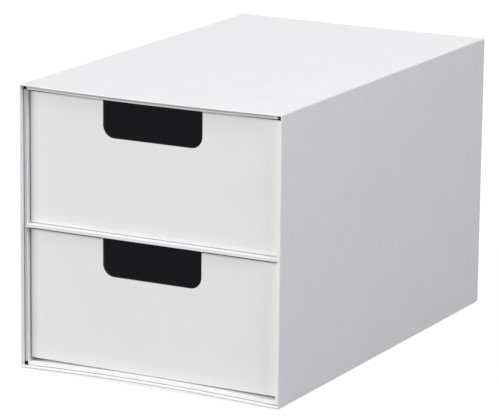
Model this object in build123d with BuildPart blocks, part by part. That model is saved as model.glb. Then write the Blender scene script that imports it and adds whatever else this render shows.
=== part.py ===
"""Chest of paper-covered board with two drawers, one over the other, that pull out to the front.

Millimetres, +Z up, +X to the right, and the open front faces -Y. The origin is the
middle of the footprint, on the surface that the chest stands on.
"""
import os

from build123d import *

# Case
case_width = 200.0
case_depth = 320.0
cover_paper = 0.2
sleeve_board = 0.8
sleeve_floor_board = 1.3
liner_board = 2.6  # liner panels and shelf, each with its own paper
back_board = 1.8
glue_line = 0.1  # between the layers of the case
fold_radius = 0.8  # long outer folds of the sleeve
liner_edge_radius = 0.5
flat_edge = 5.0  # straight strip beside each long fold, where the bow begins
floor_bow_front = 2.0  # how far the floor bows up at the open front
top_bow_front = 1.1  # how far the top bows down there
bow_back = 0.4  # either of them at the back
bow_strips = 12  # narrow straight strips that a bow is made of
liner_setback = 3.3  # liner edges behind the front edge of the sleeve
shelf_setback = 2.5  # the shelf's edge, a little proud of the liners
drawer_setback = 6.0  # drawer fronts behind the front edge of the sleeve

# Drawers
drawer_height = 91.4
drawer_board = 1.6
lining_paper = 0.2
drawer_corner_radius = 0.6
notch_width = 76.0
notch_depth = 25.8
notch_radius = 8.5

# Clearances
side_clearance = 0.8  # each side of a drawer
running_clearance = 0.3  # under a drawer
upper_headroom = 0.1  # over the upper drawer, where the top bows lowest
lower_headroom = 1.5  # over the lower drawer
rear_clearance = 0.3  # behind a closed drawer
back_clearance = 0.1  # round the inset back panel

# Heights, from the surface that the case stands on
sleeve_underside = cover_paper + glue_line
sleeve_floor = sleeve_underside + sleeve_floor_board
floor_liner_underside = sleeve_floor + glue_line
floor_top = floor_liner_underside + liner_board
lower_drawer_floor = floor_top + floor_bow_front + running_clearance
shelf_underside = lower_drawer_floor + drawer_height + lower_headroom
shelf_top = shelf_underside + liner_board
upper_drawer_floor = shelf_top + running_clearance
liner_ceiling = upper_drawer_floor + drawer_height + upper_headroom + top_bow_front
sleeve_ceiling = liner_ceiling + liner_board + glue_line
paper_ceiling = sleeve_ceiling + sleeve_board + glue_line
case_height = paper_ceiling + cover_paper

# Places across and along the case
half_width = case_width / 2
paper_inside = half_width - cover_paper
sleeve_outside = paper_inside - glue_line
sleeve_inside = sleeve_outside - sleeve_board
liner_outside = sleeve_inside - glue_line
liner_inside = liner_outside - liner_board
bow_half_span = half_width - flat_edge
front_edge = -case_depth / 2
back_edge = case_depth / 2
back_board_outside = back_edge - cover_paper - glue_line
back_board_inside = back_board_outside - back_board
liner_front = front_edge + liner_setback
shelf_front = front_edge + shelf_setback
drawer_front = front_edge + drawer_setback
drawer_back = back_board_inside - rear_clearance
drawer_half_width = liner_inside - side_clearance


def keep(piece, name):
    """Name a finished piece and write it out."""
    piece.label = name
    export_step(piece, f"parts/{name}.step")


def bow_at(y, bow_front):
    """How far a bowed board stands inward at a place along the depth."""
    share = (y - front_edge) / case_depth
    return bow_front + (bow_back - bow_front) * share


def bowed_board(board_half, underside, thickness, y_start, y_end, bow_front, inward):
    """A board across the case, straight beside its long edges and bowed in between.

    It bows up where inward is 1 and down where it is -1.
    """
    steps = [2 * n / bow_strips - 1 for n in range(bow_strips + 1)]
    edge_strip = board_half - bow_half_span
    edge_strip_centre = (bow_half_span + edge_strip / 2, underside + thickness / 2)
    with BuildPart() as board:
        for y in (y_start, y_end):
            rise = inward * bow_at(y, bow_front)
            lower = [(bow_half_span * step, underside + rise * (1 - step**2)) for step in steps]
            upper = [(x, z + thickness) for x, z in reversed(lower)]
            with BuildSketch(Plane.XZ.offset(-y)):
                with BuildLine():
                    Polyline(*lower, *upper, close=True)
                make_face()
        loft(ruled=True)
        with BuildSketch(Plane.XZ.offset(-y_start)):
            with Locations(edge_strip_centre):
                Rectangle(edge_strip, thickness)
            mirror(about=Plane.YZ)
        extrude(amount=y_start - y_end)
    return board.part


def upright_board(x_inner, thickness, underside, topside, y_start, y_end, side):
    """An upright board along the case, on the left (side -1) or on the right (side 1)."""
    with BuildPart() as board:
        with BuildSketch(Plane.XZ.offset(-y_start)):
            with Locations((side * (x_inner + thickness / 2), (underside + topside) / 2)):
                Rectangle(thickness, topside - underside)
        extrude(amount=y_start - y_end)
    return board.part


def cross_board(width, underside, topside, y_start, thickness):
    """An upright board across the case, from y_start toward the back."""
    with BuildPart() as board:
        with BuildSketch(Plane.XZ.offset(-y_start)):
            with Locations((0, (underside + topside) / 2)):
                Rectangle(width, topside - underside)
        extrude(amount=-thickness)
    return board.part


def front_end_edges(piece, direction):
    """The edges of a piece's front end that run along one axis."""
    return piece.edges().group_by(Axis.Y)[0].filter_by(direction)


def build_sleeve():
    """Outer sleeve: thin board folded round the case, from the front to the back."""
    with BuildPart() as sleeve_top:
        add(bowed_board(sleeve_outside, sleeve_ceiling, sleeve_board, front_edge, back_edge,
                        top_bow_front, -1))
        long_edges = sleeve_top.edges().filter_by(Axis.Y).group_by(Axis.X)
        folds = [long_edges[end].sort_by(Axis.Z)[-1] for end in (0, -1)]
        fillet(folds, fold_radius - cover_paper - glue_line)
    keep(sleeve_top.part, "sleeve_top")

    with BuildPart() as sleeve_bottom:
        add(bowed_board(sleeve_outside, sleeve_underside, sleeve_floor_board, front_edge, back_edge,
                        floor_bow_front, 1))
    keep(sleeve_bottom.part, "sleeve_bottom")

    for name, side in (("sleeve_left", -1), ("sleeve_right", 1)):
        with BuildPart() as sleeve_side:
            add(upright_board(sleeve_inside, sleeve_board, sleeve_floor, sleeve_ceiling,
                              front_edge, back_edge, side))
        keep(sleeve_side.part, name)


def build_case_papers():
    """White paper over the sleeve: one sheet over the sides and the top, one underneath."""
    fold_middle = half_width - fold_radius
    fold_height = case_height - fold_radius
    with BuildPart() as wrap:
        add(bowed_board(fold_middle, paper_ceiling, cover_paper, front_edge, back_edge, top_bow_front, -1))
        with BuildSketch(Plane.XZ.offset(-front_edge)):
            with BuildLine():
                Line((fold_middle, paper_ceiling), (fold_middle, case_height))
                CenterArc((fold_middle, fold_height), fold_radius, 90, -90)
                Line((half_width, fold_height), (half_width, cover_paper))
                Line((half_width, cover_paper), (paper_inside, cover_paper))
                Line((paper_inside, cover_paper), (paper_inside, fold_height))
                CenterArc((fold_middle, fold_height), fold_radius - cover_paper, 0, 90)
            make_face()
            mirror(about=Plane.YZ)
        extrude(amount=-case_depth)
    keep(wrap.part, "case_cover_paper")

    with BuildPart() as base_paper:
        add(bowed_board(half_width, 0, cover_paper, front_edge, back_edge, floor_bow_front, 1))
    keep(base_paper.part, "case_base_paper")


def build_back():
    """Back panel, set in flush with the back end of the sleeve, and its paper."""
    underside = sleeve_floor + bow_at(back_board_inside, floor_bow_front) + back_clearance
    topside = sleeve_ceiling - bow_at(back_board_inside, top_bow_front) - back_clearance
    width = 2 * (sleeve_inside - back_clearance)
    with BuildPart() as back_panel:
        add(cross_board(width, underside, topside, back_board_inside, back_board))
    keep(back_panel.part, "back_panel")

    with BuildPart() as back_paper:
        add(cross_board(width, underside, topside, back_edge - cover_paper, cover_paper))
    keep(back_paper.part, "back_cover_paper")


def build_liners():
    """Inner panels: they meet at their inside corners, so a square channel stays open
    along each outer corner of the case. The shelf is mitred into the upper side panels."""
    with BuildPart() as top_liner:
        add(bowed_board(liner_inside, liner_ceiling, liner_board, liner_front, back_board_inside,
                        top_bow_front, -1))
    keep(top_liner.part, "top_liner")

    with BuildPart() as floor_liner:
        add(bowed_board(liner_inside, floor_liner_underside, liner_board, liner_front, back_board_inside,
                        floor_bow_front, 1))
    keep(floor_liner.part, "floor_liner")

    for name, side in (("lower_left_liner", -1), ("lower_right_liner", 1)):
        with BuildPart() as lower_side:
            add(upright_board(liner_inside, liner_board, floor_top, shelf_underside,
                              liner_front, back_board_inside, side))
            fillet(front_end_edges(lower_side, Axis.Z), liner_edge_radius)
        keep(lower_side.part, name)

    for name, side in (("upper_left_liner", -1), ("upper_right_liner", 1)):
        with BuildPart() as upper_side:
            with BuildSketch(Plane.XZ.offset(-liner_front)):
                with BuildLine():
                    Polyline((side * liner_inside, shelf_top), (side * liner_outside, shelf_underside),
                             (side * liner_outside, liner_ceiling), (side * liner_inside, liner_ceiling),
                             close=True)
                make_face()
            extrude(amount=liner_front - back_board_inside)
            fillet(front_end_edges(upper_side, Axis.Z), liner_edge_radius)
        keep(upper_side.part, name)

    with BuildPart() as shelf:
        with BuildSketch(Plane.XZ.offset(-shelf_front)):
            with BuildLine():
                Polyline((-liner_outside, shelf_underside), (liner_outside, shelf_underside),
                         (liner_inside, shelf_top), (-liner_inside, shelf_top), close=True)
            make_face()
        extrude(amount=shelf_front - back_board_inside)
        fillet(front_end_edges(shelf, Axis.X), liner_edge_radius)
    keep(shelf.part, "shelf")


def finger_notch(rim):
    """The space of a finger notch, from the rim down, through all that lies at a drawer's front."""
    wall = cover_paper + drawer_board + lining_paper
    with BuildPart() as notch:
        with BuildSketch(Plane.XZ.offset(-drawer_front)):
            with Locations((0, rim)):
                RectangleRounded(notch_width, 2 * notch_depth, notch_radius)
        extrude(amount=-wall)
    return notch.part


def build_drawer(drawer, underside):
    """One drawer: five boards, white paper round the outside and dark paper inside."""
    rim = underside + drawer_height
    middle_y = (drawer_front + drawer_back) / 2
    board_half = drawer_half_width - cover_paper
    board_front = drawer_front + cover_paper
    board_back = drawer_back - cover_paper
    inner_half = board_half - drawer_board
    inner_front = board_front + drawer_board
    inner_back = board_back - drawer_board
    inner_length = inner_back - inner_front
    floor_plane = Plane.XY.offset(underside + drawer_board)

    with BuildPart() as front_board:
        add(cross_board(2 * board_half, underside, rim, board_front, drawer_board))
        add(finger_notch(rim), mode=Mode.SUBTRACT)
    keep(front_board.part, f"{drawer}_front_board")

    with BuildPart() as back_wall:
        add(cross_board(2 * board_half, underside, rim, inner_back, drawer_board))
    keep(back_wall.part, f"{drawer}_back_board")

    for hand, side in (("left", -1), ("right", 1)):
        with BuildPart() as side_board:
            add(upright_board(inner_half, drawer_board, underside, rim, inner_front, inner_back, side))
        keep(side_board.part, f"{drawer}_{hand}_board")

    with BuildPart() as base_board:
        with BuildSketch(floor_plane):
            with Locations((0, middle_y)):
                Rectangle(2 * inner_half, inner_length)
        extrude(amount=-drawer_board)
    keep(base_board.part, f"{drawer}_base_board")

    with BuildPart() as cover:
        with BuildSketch(Plane.XY.offset(underside)):
            with Locations((0, middle_y)):
                RectangleRounded(2 * drawer_half_width, drawer_back - drawer_front, drawer_corner_radius)
                Rectangle(2 * board_half, board_back - board_front, mode=Mode.SUBTRACT)
        extrude(amount=drawer_height)
        add(finger_notch(rim), mode=Mode.SUBTRACT)
    keep(cover.part, f"{drawer}_cover_paper")

    with BuildPart() as lining:
        with BuildSketch(floor_plane):
            with Locations((0, middle_y)):
                Rectangle(2 * inner_half, inner_length)
        extrude(amount=drawer_height - drawer_board)
        with BuildSketch(floor_plane.offset(lining_paper)):
            with Locations((0, middle_y)):
                Rectangle(2 * (inner_half - lining_paper), inner_length - 2 * lining_paper)
        extrude(amount=drawer_height, mode=Mode.SUBTRACT)
        add(finger_notch(rim), mode=Mode.SUBTRACT)
    keep(lining.part, f"{drawer}_lining")


os.makedirs("parts", exist_ok=True)
build_sleeve()
build_case_papers()
build_back()
build_liners()
build_drawer("upper_drawer", upper_drawer_floor)
build_drawer("lower_drawer", lower_drawer_floor)
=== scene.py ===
"""Chest of white paper-covered board with two drawers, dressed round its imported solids.

Lengths of the chest are in millimetres, and make_piece turns them into metres. The room,
the lamps and the camera are in metres.
"""

import math

import bmesh
import bpy
from mathutils import Euler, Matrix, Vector


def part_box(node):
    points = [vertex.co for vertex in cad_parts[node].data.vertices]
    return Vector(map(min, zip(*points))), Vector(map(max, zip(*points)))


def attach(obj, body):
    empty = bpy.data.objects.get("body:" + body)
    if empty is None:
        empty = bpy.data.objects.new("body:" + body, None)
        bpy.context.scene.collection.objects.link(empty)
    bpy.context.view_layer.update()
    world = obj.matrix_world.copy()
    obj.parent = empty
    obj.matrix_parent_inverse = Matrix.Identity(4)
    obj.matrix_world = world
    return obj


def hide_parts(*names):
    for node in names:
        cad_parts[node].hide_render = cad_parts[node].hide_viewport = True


MM = 0.001
X, Y, Z = range(3)

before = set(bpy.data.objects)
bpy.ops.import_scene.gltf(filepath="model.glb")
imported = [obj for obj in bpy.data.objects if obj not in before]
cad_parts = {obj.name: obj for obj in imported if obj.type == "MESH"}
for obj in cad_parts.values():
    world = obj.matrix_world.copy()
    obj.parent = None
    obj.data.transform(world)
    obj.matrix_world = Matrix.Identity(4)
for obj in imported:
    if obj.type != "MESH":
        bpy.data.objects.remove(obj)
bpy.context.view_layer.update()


def reach(node, axis):
    """Where a CAD node begins and ends along an axis."""
    low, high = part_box(node)
    return round(low[axis] / MM, 3), round(high[axis] / MM, 3)


def extent(node, axis):
    """How long a CAD node is along an axis."""
    low, high = reach(node, axis)
    return round(high - low, 3)


# Case
CASE_HALF = reach("case_cover_paper", X)[1]
CASE_FRONT, CASE_BACK = reach("case_cover_paper", Y)
CASE_HEIGHT = reach("case_cover_paper", Z)[1]
PAPER = extent("back_cover_paper", Y)
WALL = round(CASE_HALF - reach("sleeve_right", X)[0], 3)  # sleeve with its paper
FLOOR_WALL = reach("sleeve_right", Z)[0]  # the same under the floor, with the base paper
GLUE = round(reach("sleeve_right", X)[0] - reach("lower_right_liner", X)[1], 3)
FOLD = 0.8  # radius of the case's long folds
SLEEVE_TURN_IN = 3.4  # how far the paper turns back inside the sleeve's ends
BASE_SHEET_MARGIN = 3.0  # between the sheet underneath and the outside of the case
BACK_RECESS = 0.08  # of the back panel's paper, inside the sleeve's end
HAIR = 0.02  # between a board and its own paper

# The bow of the case's top and floor
BOW_SPAN = 95.0
FLOOR_BOW = 2.0
TOP_BOW = 1.1
BACK_BOW = 0.4
BOW_ZONE = 8.0  # points this near to the top or the floor follow the bow
BOW_STEPS = [BOW_SPAN * (k / 12 - 1) for k in range(1, 24)]
DEPTH_STEPS = [CASE_FRONT + 40.0 * k for k in range(1, 8)]

# Liners and shelf
LINER = extent("lower_right_liner", X)
LINER_FRONT, BACK_IN = reach("top_liner", Y)
LINER_BACK = BACK_IN - 0.1  # just clear of the back panel
LINER_SKIN = 0.3  # thickness of a liner's paper
LINER_OUTER_EDGE = 0.8  # rounding of a liner's front edge beside the sleeve
LINER_INNER_EDGE = 0.5
LINER_OUT = WALL + GLUE
LINER_IN = LINER_OUT + LINER
LINER_HALF = CASE_HALF - LINER_IN
CEILING = CASE_HEIGHT - LINER_IN
FLOOR_LINER_LOW = FLOOR_WALL + GLUE
FLOOR_TOP = FLOOR_LINER_LOW + LINER
SHELF_FRONT = reach("shelf", Y)[0]
SHELF_LOW, SHELF_HIGH = reach("shelf", Z)
SHELF_LOWER_EDGE = 0.25
SHELF_MITRE_GAP = 0.05

# Where the photographed liners aren't alike
RIGHT_LINER_FRONT = LINER_FRONT - 1.0  # those on the right stand a little further out
TOP_LINER_SHORT = 1.0  # at its right end
UPPER_RIGHT_LINER_SHORT = 0.6  # at its top end
FLOOR_LINER_OUTER_EDGE = 0.6
FLOOR_LINER_END_GAP = 0.3  # between its right end and the sleeve's glue line

# Drawers
DRAWER_FLOORS = {name: reach(name + "_cover_paper", Z)[0] for name in ("upper_drawer", "lower_drawer")}
DRAWER_HEIGHT = extent("upper_drawer_cover_paper", Z)
DRAWER_HALF = reach("upper_drawer_cover_paper", X)[1]
DRAWER_FRONT, DRAWER_BACK = reach("upper_drawer_cover_paper", Y)
DRAWER_BOARD = extent("upper_drawer_base_board", Z)
DRAWER_CORNER = 0.9
DRAWER_FOLD = 0.75  # the paper's fold round the drawer's lower edges
DRAWER_TURN_IN = 12.0  # how far that paper turns in underneath
NOTCH_HALF = 38.0
NOTCH_DEPTH = 25.8
NOTCH_RADIUS = 8.5
NOTCH_OVERSHOOT = 5.0  # of the cut, over the rim and past both faces

SUPPORT = 0.25  # flat strip beside a rounding, which keeps the shading of the large faces even


# ---------------------------------------------------------------- materials

def new_material(name):
    """A material with its nodes, its links and its main shader."""
    material = bpy.data.materials.new(name)
    material.use_nodes = True
    nodes = material.node_tree.nodes
    return material, nodes, material.node_tree.links, nodes["Principled BSDF"]


def add_noise(nodes, links, coords, scale, detail, stretch=(1, 1, 1)):
    mapping = nodes.new("ShaderNodeMapping")
    mapping.inputs["Scale"].default_value = stretch
    links.new(coords.outputs["Object"], mapping.inputs["Vector"])
    noise = nodes.new("ShaderNodeTexNoise")
    noise.inputs["Scale"].default_value = scale
    noise.inputs["Detail"].default_value = detail
    links.new(mapping.outputs["Vector"], noise.inputs["Vector"])
    return noise


def add_ramp(nodes, links, noise, low, high, colour_low, colour_high):
    ramp = nodes.new("ShaderNodeValToRGB")
    ramp.color_ramp.elements[0].position = low
    ramp.color_ramp.elements[1].position = high
    ramp.color_ramp.elements[0].color = (*colour_low, 1)
    ramp.color_ramp.elements[1].color = (*colour_high, 1)
    links.new(noise.outputs["Fac"], ramp.inputs["Fac"])
    return ramp


def add_bump(nodes, links, noise, strength, distance, below=None):
    """Relief from a noise, in metres, on top of the relief of another bump."""
    bump = nodes.new("ShaderNodeBump")
    bump.inputs["Strength"].default_value = strength
    bump.inputs["Distance"].default_value = distance
    links.new(noise.outputs["Fac"], bump.inputs["Height"])
    if below is not None:
        links.new(below.outputs["Normal"], bump.inputs["Normal"])
    return bump


def scale_rgb(colour, factor):
    return tuple(min(1.0, c * factor) for c in colour)


def paper_material(name, colour, roughness, mottle, specular, painted_glow=(0, 0, 0)):
    """Cover paper: fine fibre grain, cloudy mottling and a faint unevenness of the sheet.

    A nonzero glow colour makes the paper itself glow faintly. This is painted light, which stands in for the
    light that a lens spreads over the darkest places.
    """
    material, nodes, links, shader = new_material(name)
    coords = nodes.new("ShaderNodeTexCoord")
    cloud = add_noise(nodes, links, coords, scale=38, detail=4)
    fibre = add_noise(nodes, links, coords, scale=2600, detail=4, stretch=(1, 0.45, 1))
    tint = add_ramp(nodes, links, cloud, low=0.3, high=0.7,
                    colour_low=scale_rgb(colour, 1 - mottle), colour_high=scale_rgb(colour, 1 + mottle))
    speck = add_ramp(nodes, links, fibre, low=0.35, high=0.65,
                     colour_low=(1 - mottle,) * 3, colour_high=(1, 1, 1))
    mix = nodes.new("ShaderNodeMix")
    mix.data_type = "RGBA"
    mix.blend_type = "MULTIPLY"
    mix.inputs["Factor"].default_value = 1.0
    links.new(tint.outputs["Color"], mix.inputs["A"])
    links.new(speck.outputs["Color"], mix.inputs["B"])
    links.new(mix.outputs["Result"], shader.inputs["Base Color"])
    spread = 0.06
    shine = nodes.new("ShaderNodeMapRange")
    shine.inputs["To Min"].default_value = roughness - spread
    shine.inputs["To Max"].default_value = roughness + spread
    links.new(cloud.outputs["Fac"], shine.inputs["Value"])
    links.new(shine.outputs["Result"], shader.inputs["Roughness"])
    shader.inputs["Specular IOR Level"].default_value = specular
    # painted glow: the paper emits a faint light of its own, in place of lens glare over the darkest places
    shader.inputs["Emission Color"].default_value = (*painted_glow, 1)
    shader.inputs["Emission Strength"].default_value = 1.0 if any(painted_glow) else 0.0
    wave = add_noise(nodes, links, coords, scale=9, detail=2)
    broad = add_bump(nodes, links, wave, strength=0.25, distance=0.0006)
    grain = add_bump(nodes, links, fibre, strength=0.18, distance=0.00004, below=broad)
    links.new(grain.outputs["Normal"], shader.inputs["Normal"])
    return material


def board_material(name, colour):
    """Cut or bare grey board: pressed fibres in thin layers, rough and matt."""
    material, nodes, links, shader = new_material(name)
    coords = nodes.new("ShaderNodeTexCoord")
    fibre = add_noise(nodes, links, coords, scale=1400, detail=5)
    layer = add_noise(nodes, links, coords, scale=300, detail=3, stretch=(1, 12, 1))
    tint = add_ramp(nodes, links, fibre, low=0.3, high=0.7,
                    colour_low=scale_rgb(colour, 0.75), colour_high=scale_rgb(colour, 1.3))
    links.new(tint.outputs["Color"], shader.inputs["Base Color"])
    shader.inputs["Roughness"].default_value = 0.9
    shader.inputs["Specular IOR Level"].default_value = 0.2
    coarse = add_bump(nodes, links, layer, strength=0.3, distance=0.0001)
    fine = add_bump(nodes, links, fibre, strength=0.4, distance=0.00008, below=coarse)
    links.new(fine.outputs["Normal"], shader.inputs["Normal"])
    return material


white_paper = paper_material("white_paper", (0.866, 0.863, 0.861),
                             roughness=0.75, mottle=0.012, specular=0.15)
# the black lining paper has a faint painted glow, which stands in for lens glare over the dark insides of
# the drawers
black_paper = paper_material("black_paper", (0.05, 0.05, 0.054),
                             roughness=0.7, mottle=0.15, specular=0.25, painted_glow=(0.0095, 0.0095, 0.0108))
grey_board = board_material("grey_board", (0.055, 0.055, 0.058))


# ---------------------------------------------------------------- mesh building

def shade(mesh):
    """Smooth over the rounded edges, flat on the large end and cut faces."""
    mesh.set_sharp_from_angle(angle=math.radians(35))
    mesh.polygons.foreach_set("use_smooth", [len(face.vertices) <= 4 for face in mesh.polygons])


def fix_normals(piece):
    """Turns all faces outward."""
    work = bmesh.new()
    work.from_mesh(piece.data)
    bmesh.ops.recalc_face_normals(work, faces=work.faces)
    work.to_mesh(piece.data)
    work.free()


def in_metres(points):
    return [(x * MM, y * MM, z * MM) for x, y, z in points]


def make_piece(name, points, faces, material, body, replaces=()):
    """A closed mesh in millimetres becomes a piece that rides on a body."""
    mesh = bpy.data.meshes.new(name)
    mesh.from_pydata(in_metres(points), [], faces)
    mesh.update()
    shade(mesh)
    mesh.materials.append(material)
    piece = bpy.data.objects.new(name, mesh)
    bpy.context.scene.collection.objects.link(piece)
    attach(piece, body)
    if replaces:
        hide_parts(*replaces)
    fix_normals(piece)
    return piece


def quarter(steps=4):
    """Sines and cosines of a quarter turn."""
    turns = [k * math.pi / 2 / steps for k in range(steps + 1)]
    return [(math.sin(t), math.cos(t)) for t in turns]


def bridge(a, b):
    """Faces between two rings of points that close on themselves."""
    count = len(a)
    return [(a[i], a[(i + 1) % count], b[(i + 1) % count], b[i]) for i in range(count)]


def rounded_section(u0, u1, v0, v1, radius, extra_u=()):
    """A rounded rectangle, counterclockwise, with extra points along its two long sides."""
    r = max(radius, 0.02)
    near = [u for u in extra_u if u0 + r + SUPPORT < u < u1 - r - SUPPORT]
    long_side = [u0 + r, u0 + r + SUPPORT, *near, u1 - r - SUPPORT, u1 - r]
    arc = quarter()[1:-1]
    points = [(u, v0) for u in long_side]
    points += [(u1 - r + r * s, v0 + r - r * c) for s, c in arc]
    points += [(u1, v0 + r), (u1, v1 - r)]
    points += [(u1 - r + r * c, v1 - r + r * s) for s, c in arc]
    points += [(u, v1) for u in reversed(long_side)]
    points += [(u0 + r - r * s, v1 - r + r * c) for s, c in arc]
    points += [(u0, v1 - r), (u0, v0 + r)]
    points += [(u0 + r - r * c, v0 + r - r * s) for s, c in arc]
    return points


def end_stations(start, stop, radius, between=()):
    """Places along a board, each with how far the section draws in there to round the ends."""
    support = min(SUPPORT, (stop - start - 2 * radius) / 4)
    head = [(start + radius * (1 - a), radius * (1 - b)) for a, b in reversed(quarter())]
    tail = [(stop - radius * (1 - a), radius * (1 - b)) for a, b in quarter()]
    middle = [(s, 0.0) for s in (start + radius + support, *between, stop - radius - support)]
    return head + middle + tail


def board(name, size, place, material, body, replaces, edge, end, extra_u=(), between=()):
    """A board with softened edges. size is (u0, u1, v0, v1, s0, s1), and place maps u, v, s.

    Edge and end are the roundings of its long edges and of its two ends.
    """
    u0, u1, v0, v1, s0, s1 = size
    points, rings = [], []
    for s, inset in end_stations(s0, s1, end, between):
        section = rounded_section(u0 + inset, u1 - inset, v0 + inset, v1 - inset, edge - inset, extra_u)
        rings.append(range(len(points), len(points) + len(section)))
        points += [place(u, v, s) for u, v in section]
    faces = [tuple(reversed(rings[0])), tuple(rings[-1])]
    for a, b in zip(rings, rings[1:]):
        faces += bridge(a, b)
    return make_piece(name, points, faces, material, body, replaces)


def ring(name, section, path, place, material, body, replaces):
    """A skin that closes on itself. section holds (s, depth) pairs round the skin's cut face."""
    points, rows = [], []
    for s, depth in section:
        line = path(depth)
        rows.append(range(len(points), len(points) + len(line)))
        points += [place(a, b, s) for a, b in line]
    faces = []
    for a, b in zip(rows, rows[1:] + rows[:1]):
        faces += bridge(a, b)
    return make_piece(name, points, faces, material, body, replaces)


def rounded_path(a0, a1, b0, b1, corner, extra_a=(), floor_share=1.0):
    """Path round a rectangle at a depth inside it; deep inside a corner it turns nearly sharp.

    floor_share says how much deeper the same wall is along the bottom side.
    """
    def at(depth):
        r = max(corner - depth, 0.03)
        p0, p1, q0, q1 = a0 + depth, a1 - depth, b0 + depth * floor_share, b1 - depth
        run_a = [p0 + r, p0 + r + SUPPORT, *extra_a, p1 - r - SUPPORT, p1 - r]
        run_b = [q0 + r, q0 + r + SUPPORT, q1 - r - SUPPORT, q1 - r]
        arc = quarter(5)[1:-1]
        line = [(a, q0) for a in run_a]
        line += [(p1 - r + r * s, q0 + r - r * c) for s, c in arc]
        line += [(p1, b) for b in run_b]
        line += [(p1 - r + r * c, q1 - r + r * s) for s, c in arc]
        line += [(a, q1) for a in reversed(run_a)]
        line += [(p0 + r - r * s, q1 - r + r * c) for s, c in arc]
        line += [(p0, b) for b in reversed(run_b)]
        line += [(p0 + r - r * c, q0 + r - r * s) for s, c in arc]
        return line
    return at


def hook_section(front, back, wall, paper, turn_in, between):
    """Cut face of a skin that turns round both ends of a wall and a little way back inside it."""
    r = wall / 2
    steps = 6
    outer, inner = [], []
    for k in range(steps + 1):
        t = math.pi * k / steps
        outer.append((front + r - r * math.sin(t), r + r * math.cos(t)))
        inner.append((front + r - (r - paper) * math.sin(t), r + (r - paper) * math.cos(t)))
    near_front, near_back = front + r + SUPPORT, back - r - SUPPORT
    outside = [(front + turn_in, wall), (near_front, wall), *outer]
    outside += [(near_front, 0.0), *[(s, 0.0) for s in between], (near_back, 0.0)]
    outside += [(front + back - s, d) for s, d in reversed(outer)]
    outside += [(near_back, wall), (back - turn_in, wall)]
    inside = [(back - turn_in, wall - paper), (near_back, wall - paper)]
    inside += [(front + back - s, d) for s, d in inner]
    inside += [(near_back, paper), *[(s, paper) for s in reversed(between)], (near_front, paper)]
    inside += [*reversed(inner), (near_front, wall - paper), (front + turn_in, wall - paper)]
    return outside + inside


# ---------------------------------------------------------------- places

def bow(x, y, at_front):
    """How far the top or the floor stands inward at a place, by its bow at the front."""
    share = (y - CASE_FRONT) / (CASE_BACK - CASE_FRONT)
    rise = at_front + (BACK_BOW - at_front) * share
    return rise * max(0.0, 1 - (x / BOW_SPAN) ** 2)


def bowed(x, y, z):
    """Moves a point of the case's top or floor inward by the bow there."""
    if z > CASE_HEIGHT - BOW_ZONE:
        return (x, y, z - bow(x, y, TOP_BOW))
    if z < BOW_ZONE:
        return (x, y, z + bow(x, y, FLOOR_BOW))
    return (x, y, z)


def across_case(u, v, s):
    return bowed(u, s, v)


def upright(u, v, s):
    return (v, s, u)


def level(u, v, s):
    return (u, s, v)


def along_side(sign):
    return lambda u, v, s: (sign * v, s, u)


# ---------------------------------------------------------------- case

def build_sleeve():
    """The cover paper round the case, the sheet underneath, and the sleeve's boards inside them."""
    wrap_path = rounded_path(-CASE_HALF, CASE_HALF, PAPER, CASE_HEIGHT, FOLD, BOW_STEPS,
                             floor_share=(FLOOR_WALL - PAPER) / WALL)
    wrap_cut = hook_section(CASE_FRONT, CASE_BACK, WALL, PAPER, SLEEVE_TURN_IN, DEPTH_STEPS)
    ring("case_cover_wrap", wrap_cut, wrap_path, lambda a, b, s: bowed(a, s, b),
         white_paper, "case", ["case_cover_paper"])

    half = CASE_HALF - BASE_SHEET_MARGIN
    top = PAPER - 0.01  # just clear of the wrap above it
    size = (-half, half, 0.0, top, CASE_FRONT + BASE_SHEET_MARGIN, CASE_BACK - BASE_SHEET_MARGIN)
    board("case_base_sheet", size, across_case, white_paper, "case", ["case_base_paper"],
          edge=0.05, end=0.05, extra_u=BOW_STEPS, between=DEPTH_STEPS)

    inset = PAPER + HAIR  # the boards lie just inside their paper, also where it turns in
    start, stop = CASE_FRONT + inset, CASE_BACK - inset
    side = CASE_HALF - inset
    floor_core = (PAPER + inset, FLOOR_WALL - inset)
    top_core = (CASE_HEIGHT - WALL + inset, CASE_HEIGHT - inset)
    for name, core in (("sleeve_bottom", floor_core), ("sleeve_top", top_core)):
        board(name + "_core", (-side, side, *core, start, stop), across_case,
              grey_board, "case", [name],
              edge=0.3, end=0.3, extra_u=BOW_STEPS, between=DEPTH_STEPS)
    for name, sign in (("sleeve_left", -1), ("sleeve_right", 1)):
        size = (floor_core[1], top_core[0], CASE_HALF - WALL + inset, side, start, stop)
        board(name + "_core", size, along_side(sign), grey_board, "case", [name],
              edge=0.1, end=0.3)


def build_liners():
    """The inner panels: above, below, and two on each side, over and under the shelf."""
    out = CASE_HALF - LINER_OUT
    build_liner("top_liner", (-LINER_HALF, LINER_HALF - TOP_LINER_SHORT), CASE_HEIGHT - LINER_OUT, CEILING,
                across_case, BOW_STEPS)
    build_liner("floor_liner", (-LINER_HALF, out - FLOOR_LINER_END_GAP), FLOOR_LINER_LOW, FLOOR_TOP,
                across_case, BOW_STEPS, edge=FLOOR_LINER_OUTER_EDGE)
    for hand, sign, front, top in (("left", -1, LINER_FRONT, CEILING),
                                   ("right", 1, RIGHT_LINER_FRONT, CEILING - UPPER_RIGHT_LINER_SHORT)):
        side = along_side(sign)
        build_liner(f"lower_{hand}_liner", (FLOOR_TOP, SHELF_LOW), out, LINER_HALF, side, front=front)
        build_liner(f"upper_{hand}_liner", (SHELF_LOW, top), out, LINER_HALF, side, front=front, mitre=LINER)


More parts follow.
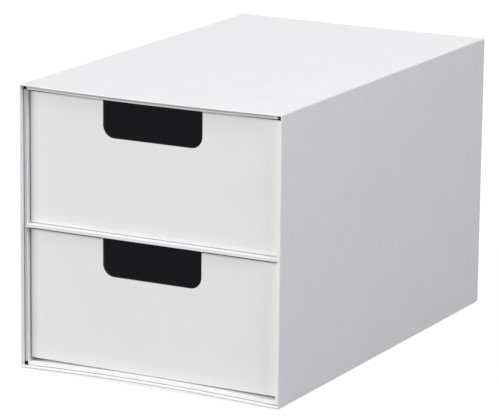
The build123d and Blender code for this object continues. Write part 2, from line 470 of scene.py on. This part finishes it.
def build_liner(name, span, outer, inner, place, extra=(), front=LINER_FRONT,
                edge=LINER_OUTER_EDGE, mitre=0.0):
    """A liner panel: bare grey board behind, white paper on its inner face and round its front edge.

    It spans u from end to end, and its faces lie at v outer and inner. A mitre makes the
    panel's lower end slope up toward its inner face, to rest on the shelf.
    """
    toward = 1 if inner > outer else -1
    thickness = abs(inner - outer)
    core_front = front + edge + 0.1
    core_inside = thickness - LINER_SKIN
    skin_cut = liner_skin_section(front, thickness, edge)
    core_cut = [(core_front, 0.0), (LINER_BACK, 0.0), (LINER_BACK, core_inside), (core_front, core_inside)]
    u0, u1 = span
    clear = 0.4  # least step from a panel's end to the next place along it
    us = [u0, *[u for u in extra if u0 + clear < u < u1 - clear], u1]
    for suffix, section, material, replaced in (("_paper", skin_cut, white_paper, []),
                                                ("_core", core_cut, grey_board, [name])):
        points, rings = [], []
        for u in us:
            rings.append(range(len(points), len(points) + len(section)))
            for s, v in section:
                lift = mitre * v / thickness if u == u0 else 0.0
                points.append(place(u + lift, outer + toward * v, s))
        faces = [face for a, b in zip(rings, rings[1:]) for face in bridge(a, b)]
        faces += [tuple(rings[0]), tuple(reversed(rings[-1]))]
        make_piece(name + suffix, points, faces, material, "case", replaced)


def liner_skin_section(front, thickness, edge):
    """Cut face of a liner's paper, (s, v): v is 0 at the board's bare outer face, rounded by edge."""
    r, q, skin = edge, LINER_INNER_EDGE, LINER_SKIN
    strip = 0.1  # flat strip between the front face's middle and its roundings
    outer = [(front + r - r * a, r - r * b) for a, b in quarter()]
    outer += [(front, r + strip), (front, thickness - q - strip)]
    outer += [(front + q - q * b, thickness - q + q * a) for a, b in quarter()]
    outer += [(s, thickness) for s in (front + q + 0.2, *DEPTH_STEPS, LINER_BACK)]
    inner = [(front + r, skin / 2)]
    turned = [(front + r - (r - skin) * a, r - (r - skin) * b) for a, b in quarter()]
    inner += [(s, v) for s, v in turned if v > 0.2]
    inner += [(front + q - (q - skin) * b, thickness - q + (q - skin) * a) for a, b in quarter()]
    inner += [(s, thickness - skin) for s in (front + q + 0.2, *DEPTH_STEPS, LINER_BACK)]
    return outer + list(reversed(inner))


def build_shelf():
    """The shelf, white all round, mitred at both ends into the upper liners."""
    edge, low = LINER_INNER_EDGE, SHELF_LOWER_EDGE
    strip = 0.1  # flat strip between the front face's middle and its roundings
    half_low, half_high = CASE_HALF - LINER_OUT, LINER_HALF
    profile = [(SHELF_FRONT + low - low * a, SHELF_LOW + low - low * b) for a, b in quarter()]
    profile += [(SHELF_FRONT, SHELF_LOW + low + strip), (SHELF_FRONT, SHELF_HIGH - edge - strip)]
    profile += [(SHELF_FRONT + edge - edge * b, SHELF_HIGH - edge + edge * a) for a, b in quarter()]
    profile += [(y, SHELF_HIGH) for y in (SHELF_FRONT + edge + 0.2, *DEPTH_STEPS, LINER_BACK)]
    profile += [(y, SHELF_LOW) for y in (LINER_BACK, *reversed(DEPTH_STEPS), SHELF_FRONT + low + 0.2)]
    points = []
    for sign in (-1, 1):
        for y, z in profile:
            half = half_low + (half_high - half_low) * (z - SHELF_LOW) / LINER
            points.append((sign * (half - SHELF_MITRE_GAP), y, z))
    n = len(profile)
    left, right = range(n), range(n, 2 * n)
    faces = [*bridge(left, right), tuple(left), tuple(reversed(right))]
    make_piece("shelf_board", points, faces, white_paper, "case", ["shelf"])


def build_back():
    """The back panel, set into the sleeve's end, and its paper."""
    half = CASE_HALF - WALL - GLUE
    low, high = FLOOR_WALL + GLUE + BACK_BOW, CASE_HEIGHT - WALL - GLUE - BACK_BOW
    back = CASE_BACK - BACK_RECESS
    board("back_panel_board", (low, high, -half, half, BACK_IN, back - PAPER - HAIR), upright,
          grey_board, "case", ["back_panel"], edge=0.1, end=0.1)
    board("back_panel_paper", (low, high, -half, half, back - PAPER, back), upright,
          white_paper, "case", ["back_cover_paper"], edge=0.08, end=0.08)


# ---------------------------------------------------------------- drawers

def notch_cutter(name, rim):
    """The finger notch's space, as a cutting mesh that never shows."""
    low = rim - NOTCH_DEPTH
    outline = [(-NOTCH_HALF, rim + NOTCH_OVERSHOOT)]
    outline += [(-NOTCH_HALF + NOTCH_RADIUS * (1 - b), low + NOTCH_RADIUS * (1 - a)) for a, b in quarter(10)]
    outline += [(-x, z) for x, z in reversed(outline)]
    points = [(x, y, z) for y in (DRAWER_FRONT - NOTCH_OVERSHOOT, DRAWER_FRONT + NOTCH_OVERSHOOT)
              for x, z in outline]
    n = len(outline)
    near, far = range(n), range(n, 2 * n)
    mesh = bpy.data.meshes.new(name)
    mesh.from_pydata(in_metres(points), [], [tuple(reversed(near)), tuple(far), *bridge(near, far)])
    cutter = bpy.data.objects.new(name, mesh)
    bpy.context.scene.collection.objects.link(cutter)
    fix_normals(cutter)
    return cutter


def cut(piece, cutter):
    """Cuts a piece with another mesh, and keeps the result as its mesh."""
    modifier = piece.modifiers.new("notch", "BOOLEAN")
    modifier.operation = "DIFFERENCE"
    modifier.solver = "EXACT"
    modifier.object = cutter
    bpy.context.view_layer.update()
    graph = bpy.context.evaluated_depsgraph_get()
    mesh = bpy.data.meshes.new_from_object(piece.evaluated_get(graph))
    piece.modifiers.clear()
    piece.data = mesh
    shade(mesh)


def drawer_paper_section(floor, rim):
    """Cut face of a drawer's paper, (z, depth): down the outside, round the fold and in underneath."""
    r, q = DRAWER_FOLD, DRAWER_FOLD - PAPER
    section = [(rim, 0.0), (floor + r + SUPPORT, 0.0)]
    section += [(floor + r - r * a, r - r * b) for a, b in quarter()]
    section += [(floor, r + SUPPORT), (floor, DRAWER_TURN_IN)]
    section += [(floor + PAPER, DRAWER_TURN_IN), (floor + PAPER, r + SUPPORT)]
    section += [(floor + r - q * a, r - q * b) for a, b in reversed(quarter())]
    section += [(floor + r + SUPPORT, PAPER), (rim, PAPER)]
    return section


def build_drawer(drawer):
    """One drawer: paper round five grey boards, and the black lining of the CAD model."""
    floor = DRAWER_FLOORS[drawer]
    rim = floor + DRAWER_HEIGHT
    cutter = notch_cutter(drawer + "_cutter", rim)

    path = rounded_path(-DRAWER_HALF, DRAWER_HALF, DRAWER_FRONT, DRAWER_BACK, DRAWER_CORNER)
    cover = ring(drawer + "_cover", drawer_paper_section(floor, rim), path, lambda a, b, s: (a, b, s),
                 white_paper, drawer, [drawer + "_cover_paper"])
    cut(cover, cutter)

    half = DRAWER_HALF - PAPER
    inner = half - DRAWER_BOARD
    front, back = DRAWER_FRONT + PAPER, DRAWER_BACK - PAPER
    front_inside, back_inside = front + DRAWER_BOARD, back - DRAWER_BOARD
    low = floor + PAPER
    base_top = floor + DRAWER_BOARD
    front_board = board(drawer + "_front", (low, rim, -half, half, front, front_inside), upright,
                        grey_board, drawer, [drawer + "_front_board"], edge=0.1, end=0.05)
    cut(front_board, cutter)
    board(drawer + "_back", (low, rim, -half, half, back_inside, back), upright,
          grey_board, drawer, [drawer + "_back_board"], edge=0.1, end=0.05)
    for hand, sign in (("left", -1), ("right", 1)):
        board(f"{drawer}_{hand}", (low, rim, inner, half, front_inside, back_inside), along_side(sign),
              grey_board, drawer, [f"{drawer}_{hand}_board"], edge=0.05, end=0.02)
    board(drawer + "_base", (-inner, inner, low, base_top, front_inside, back_inside), level,
          grey_board, drawer, [drawer + "_base_board"], edge=0.05, end=0.02)
    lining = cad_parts[drawer + "_lining"]
    lining.data.materials.clear()
    lining.data.materials.append(black_paper)
    bpy.data.objects.remove(cutter)


build_sleeve()
build_liners()
build_shelf()
build_back()
for drawer_name in DRAWER_FLOORS:
    build_drawer(drawer_name)


# ---------------------------------------------------------------- floor, light and camera

ROOM_HALF = 6.0
FLOOR_DROP = 0.0002  # the ground lies just under the chest
LIGHT_TARGET = Vector((0, 0, 0.1))
CAMERA_PLACE = (1.05759, -2.00799, 0.63395)
CAMERA_TURN = (76.5621, -0.6012, 28.0909)  # degrees about X, Y and Z
CAMERA_LENS = 236.62


def seen_rays(nodes, links):
    """1 for what is looked at, straight, as a reflection or through glass, and 0 for light."""
    rays = nodes.new("ShaderNodeLightPath")
    seen = rays.outputs["Is Camera Ray"]
    for kind in ("Is Glossy Ray", "Is Transmission Ray"):
        either = nodes.new("ShaderNodeMath")
        either.operation = "MAXIMUM"
        links.new(seen, either.inputs[0])
        links.new(rays.outputs[kind], either.inputs[1])
        seen = either.outputs[0]
    return seen


def add_diffuse(nodes, grey):
    diffuse = nodes.new("ShaderNodeBsdfDiffuse")
    diffuse.inputs["Color"].default_value = (grey, grey, grey, 1)
    return diffuse


def floor_material():
    """White floor: it looks near white, with the chest's soft shadow kept."""
    material, nodes, links, shader = new_material("studio_floor")
    nodes.remove(shader)
    bounce = add_diffuse(nodes, 0.15)
    shadowed = add_diffuse(nodes, 0.22)
    glow = nodes.new("ShaderNodeEmission")
    glow.inputs["Strength"].default_value = 0.84
    seen = nodes.new("ShaderNodeAddShader")
    links.new(shadowed.outputs[0], seen.inputs[0])
    links.new(glow.outputs[0], seen.inputs[1])
    mix = nodes.new("ShaderNodeMixShader")
    links.new(seen_rays(nodes, links), mix.inputs["Fac"])
    links.new(bounce.outputs[0], mix.inputs[1])
    links.new(seen.outputs[0], mix.inputs[2])
    links.new(mix.outputs[0], nodes["Material Output"].inputs["Surface"])
    return material


def build_floor():
    mesh = bpy.data.meshes.new("studio_floor")
    corners = [(x * ROOM_HALF, y * ROOM_HALF, -FLOOR_DROP) for x, y in ((-1, -1), (1, -1), (1, 1), (-1, 1))]
    mesh.from_pydata(corners, [], [(0, 1, 2, 3)])
    mesh.materials.append(floor_material())
    floor = bpy.data.objects.new("studio_floor", mesh)
    bpy.context.scene.collection.objects.link(floor)


def build_world(strength, colour):
    """An even sky for light, and white for what is looked at."""
    world = bpy.data.worlds.new("studio")
    world.use_nodes = True
    nodes, links = world.node_tree.nodes, world.node_tree.links
    light = nodes["Background"]
    light.inputs["Color"].default_value = (*colour, 1)
    light.inputs["Strength"].default_value = strength
    seen = nodes.new("ShaderNodeBackground")
    seen.inputs["Color"].default_value = (1, 1, 1, 1)
    mix = nodes.new("ShaderNodeMixShader")
    links.new(seen_rays(nodes, links), mix.inputs["Fac"])
    links.new(light.outputs[0], mix.inputs[1])
    links.new(seen.outputs[0], mix.inputs[2])
    links.new(mix.outputs[0], nodes["World Output"].inputs["Surface"])
    bpy.context.scene.world = world


def area_light(name, place, size, watts, colour):
    """A square lamp that points at the chest."""
    data = bpy.data.lights.new(name, "AREA")
    data.shape = "RECTANGLE"
    data.size = data.size_y = size
    data.energy = watts
    data.color = colour
    lamp = bpy.data.objects.new(name, data)
    lamp.location = place
    lamp.rotation_euler = (LIGHT_TARGET - Vector(place)).to_track_quat("-Z", "Y").to_euler()
    bpy.context.scene.collection.objects.link(lamp)


def build_camera():
    data = bpy.data.cameras.new("camera")
    data.lens = CAMERA_LENS
    data.sensor_width = 36.0
    data.sensor_fit = "HORIZONTAL"
    data.clip_end = 50
    camera = bpy.data.objects.new("camera", data)
    camera.location = CAMERA_PLACE
    camera.rotation_euler = Euler([math.radians(angle) for angle in CAMERA_TURN])
    bpy.context.scene.collection.objects.link(camera)
    bpy.context.scene.camera = camera


build_floor()
build_world(0.46, (0.986, 0.986, 1.0))
area_light("key_left", (-3.9, -3.7, 2.1), 2.4, 220, (1.0, 0.996, 0.988))
area_light("front_fill", (1.2, -2.7, 1.4), 1.2, 9, (1.0, 0.996, 0.988))
area_light("right", (1.9, -0.6, 1.6), 0.8, 24.5, (0.915, 0.905, 1.0))
area_light("behind", (-0.4, 3.0, 1.6), 1.2, 15, (1.0, 1.0, 1.0))
build_camera()
bpy.context.scene.view_settings.view_transform = "Standard"
